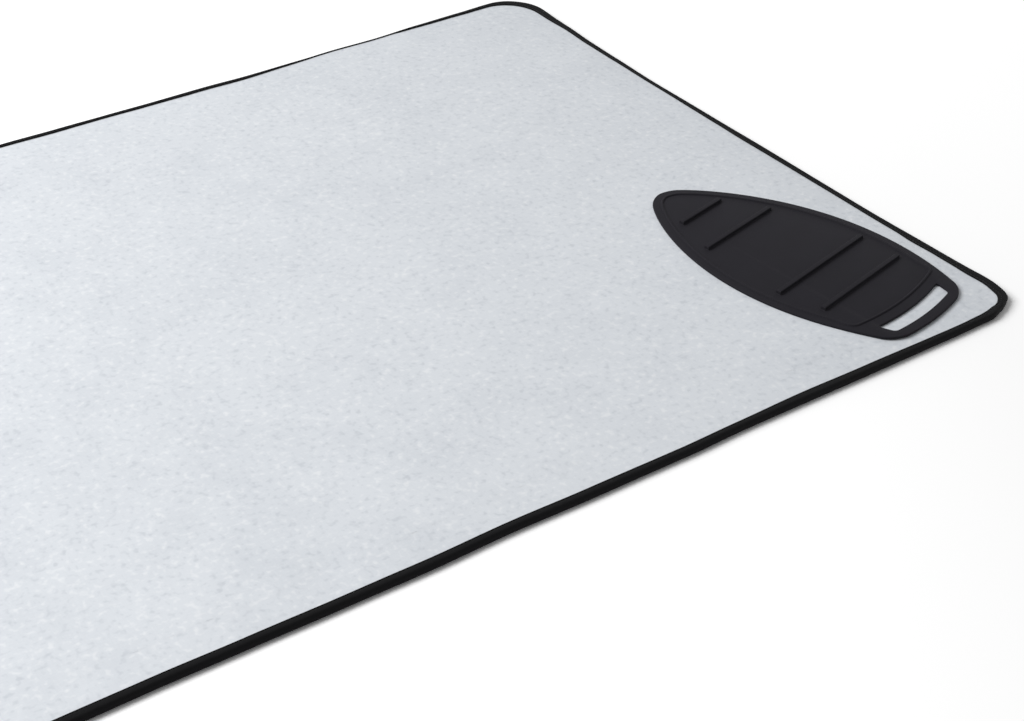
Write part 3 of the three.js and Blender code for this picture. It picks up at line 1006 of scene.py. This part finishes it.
def makePlate():
    plate = drawUp(restOutline(), 0, rest["thickness"])
    overrun = rest["cutOverrun"]
    cutter = drawUp(slotOutline(), -overrun, rest["thickness"] + overrun)
    applyModifier(plate, "BOOLEAN", {"operation": "DIFFERENCE", "object": cutter,
                                     "solver": "EXACT"})
    bpy.data.objects.remove(cutter)
    shape = bmesh.new()                        # the upper edges are rounded more than the lower
    shape.from_mesh(plate.data)
    weights = shape.edges.layers.float.new("bevel_weight_edge")
    middle = restSpot(0, 0, rest["thickness"] / 2)[2]
    for edge in shape.edges:
        if edge.calc_face_angle(0) > math.radians(rest["sharpFrom"]):
            isUpper = edge.verts[0].co.z > middle
            edge[weights] = 1 if isUpper else rest["lowerRound"] / rest["edgeRound"]
    shape.to_mesh(plate.data)
    shape.free()
    applyModifier(plate, "BEVEL", {"width": rest["edgeRound"], "segments": 4,
                                   "limit_method": "WEIGHT", "use_clamp_overlap": False})
    return plate


# the bead that runs inside the outline and above the slot
bead = {
    "inset": 8 * mm,
    "width": 2.4 * mm,
    "height": 1.2 * mm,
    "foot": 0.3 * mm,            # the small fillet where it meets the plate
    "footHeights": (0.07 * mm, 0.32 * mm),
    "root": 0.3 * mm,            # how deep it starts inside the plate
    "cornerRound": 7 * mm,
    "fieldStart": 32.6 * mm,
    "crossSteps": 24,
    "domeSteps": 6,
}


def beadLine():
    crossing = lambda across: bead["fieldStart"] + bowAt(across)
    moved = movedIn(restOutline(), bead["inset"])
    line = [p for p in moved if p.y > crossing(p.x) + bead["cornerRound"]]
    start = line[0]
    reach = start.x - bead["cornerRound"]
    corner = curvePoints([(start.x, start.y), (start.x, crossing(start.x)),
                          (reach, crossing(reach))], 10)
    line += [Vector((-p.x, p.y)) for p in corner[1:]]
    for step in range(bead["crossSteps"] + 1):
        across = -reach + 2 * reach * step / bead["crossSteps"]
        line.append(Vector((across, crossing(across))))
    return line + corner[:0:-1]


def makeBead():
    line = beadLine()
    half, top, foot = bead["width"] / 2, rest["thickness"], bead["foot"]
    root, (low, high) = bead["root"], bead["footHeights"]
    profile = [(-half - foot, -root), (-half - foot, 0), (-half - foot * 0.45, low), (-half, high)]
    for step in range(bead["domeSteps"] + 1):
        turn = math.pi * (0.12 + 0.76 * step / bead["domeSteps"])
        profile.append((-half * math.cos(turn) * 0.92,
                        bead["height"] * (0.3 + 0.7 * math.sin(turn))))
    profile += [(half, high), (half + foot * 0.45, low), (half + foot, 0), (half + foot, -root)]
    rows = []
    for offset, height in profile:
        rows.append([restSpot(p.x, p.y, top + height) for p in movedIn(line, offset)])
    return wrapGrid(rows, ([0] * (len(line) + 1), [0] * (len(rows) + 1)))


# the four raised ribs
ribs = {
    "height": 3.2 * mm,
    "width": 4.4 * mm,
    "endRound": 0.495,           # of the width, so that each end is a half round
    "round": 0.7 * mm,
    "foot": 0.5 * mm,
    "root": 0.3 * mm,
    "places": (0.2547, 0.3956, 0.6937, 0.8368),    # shares of the rest's length
    "endInsets": (17.6 * mm, 16.6 * mm, 19 * mm, 19 * mm),
}


def halfWidthAt(along):
    outline = [p for p in restOutline() if p.x >= 0]
    for before, after in zip(outline, outline[1:]):
        if before.y <= along <= after.y:
            return before.x + (after.x - before.x) * (along - before.y) / (after.y - before.y)


def makeRib(along, endInset):
    top, height = rest["thickness"], ribs["height"] - ribs["foot"]
    length = 2 * (halfWidthAt(along) - endInset)
    deselectAll()
    bpy.ops.mesh.primitive_cube_add(size=1)
    rib = bpy.context.object
    bpy.ops.transform.resize(value=(length, ribs["width"], height))
    bpy.ops.transform.translate(value=(0, along, top + ribs["foot"] + height / 2))
    bpy.ops.object.transform_apply(location=True, rotation=False, scale=True)
    bpy.ops.object.mode_set(mode="EDIT")
    shape = bmesh.from_edit_mesh(rib.data)
    for edge in shape.edges:
        edge.select_set(abs(edge.verts[0].co.z - edge.verts[1].co.z) > height / 2)
    bmesh.update_edit_mesh(rib.data)
    bpy.ops.mesh.bevel(offset=ribs["width"] * ribs["endRound"], segments=8, affect="EDGES")
    shape = bmesh.from_edit_mesh(rib.data)     # the foot spreads into the plate
    low = min(vert.co.z for vert in shape.verts)
    bpy.ops.mesh.select_all(action="DESELECT")
    for face in shape.faces:
        face.select_set(all(abs(vert.co.z - low) < hair for vert in face.verts))
    bmesh.update_edit_mesh(rib.data)
    centre = (0, along, low)
    spread = ((length + 2 * ribs["foot"]) / length,
              (ribs["width"] + 2 * ribs["foot"]) / ribs["width"], 1)
    bpy.ops.mesh.extrude_region_move(TRANSFORM_OT_translate={"value": (0, 0, -ribs["foot"])})
    bpy.ops.transform.resize(value=spread, center_override=centre)
    bpy.ops.mesh.extrude_region_move(TRANSFORM_OT_translate={"value": (0, 0, -ribs["root"])})
    bpy.ops.mesh.select_all(action="DESELECT")
    shape = bmesh.from_edit_mesh(rib.data)
    high = max(vert.co.z for vert in shape.verts)
    for edge in shape.edges:
        edge.select_set(all(abs(vert.co.z - high) < hair for vert in edge.verts))
    bmesh.update_edit_mesh(rib.data)
    bpy.ops.mesh.bevel(offset=ribs["round"], segments=4, affect="EDGES")
    bpy.ops.object.mode_set(mode="OBJECT")
    for vert in rib.data.vertices:
        vert.co = restSpot(*vert.co)
    return rib


# moulded silicone rubber: soft charcoal black, fine-grained from its mould, no gloss
def makeSiliconeMaterial():
    material, tree, shader = startMaterial("moulded silicone rubber", {
        "IOR": 1.41, "Specular IOR Level": 0.06, "Sheen Weight": 0.01, "Sheen Roughness": 0.5})
    where = addNode(tree, "ShaderNodeTexCoord").outputs["Object"]
    grain = noiseOf(tree, where, rest["grainSize"], 3)
    cloud = noiseOf(tree, where, rest["cloudSize"], 3)
    amount = addNode(tree, "ShaderNodeMath", {"operation": "MULTIPLY", "use_clamp": True},
                     {0: grain, 1: cloud})
    colourBetween(tree, shader, rest["colour"], rest["grain"], amount.outputs[0])
    rough = addNode(tree, "ShaderNodeMath", {"operation": "MULTIPLY_ADD", 1: 0.2, 2: 0.5},
                    {0: grain})
    tree.links.new(rough.outputs[0], shader.inputs["Roughness"])
    bumpFrom(tree, shader, grain, 0.25, 0.08 * mm)
    return material


def makeRest():
    plate = makePlate()
    parts = [plate, makeBead()]
    for share, inset in zip(ribs["places"], ribs["endInsets"]):
        parts.append(makeRib(share * rest["length"], inset))
    deselectAll()
    for part in parts:
        part.select_set(True)
    bpy.context.view_layer.objects.active = plate
    bpy.ops.object.join()
    return plate


ironRest = makeRest()
finishPiece(ironRest, "ironRest", "iron_rest", "iron_rest", makeSiliconeMaterial(), 35)
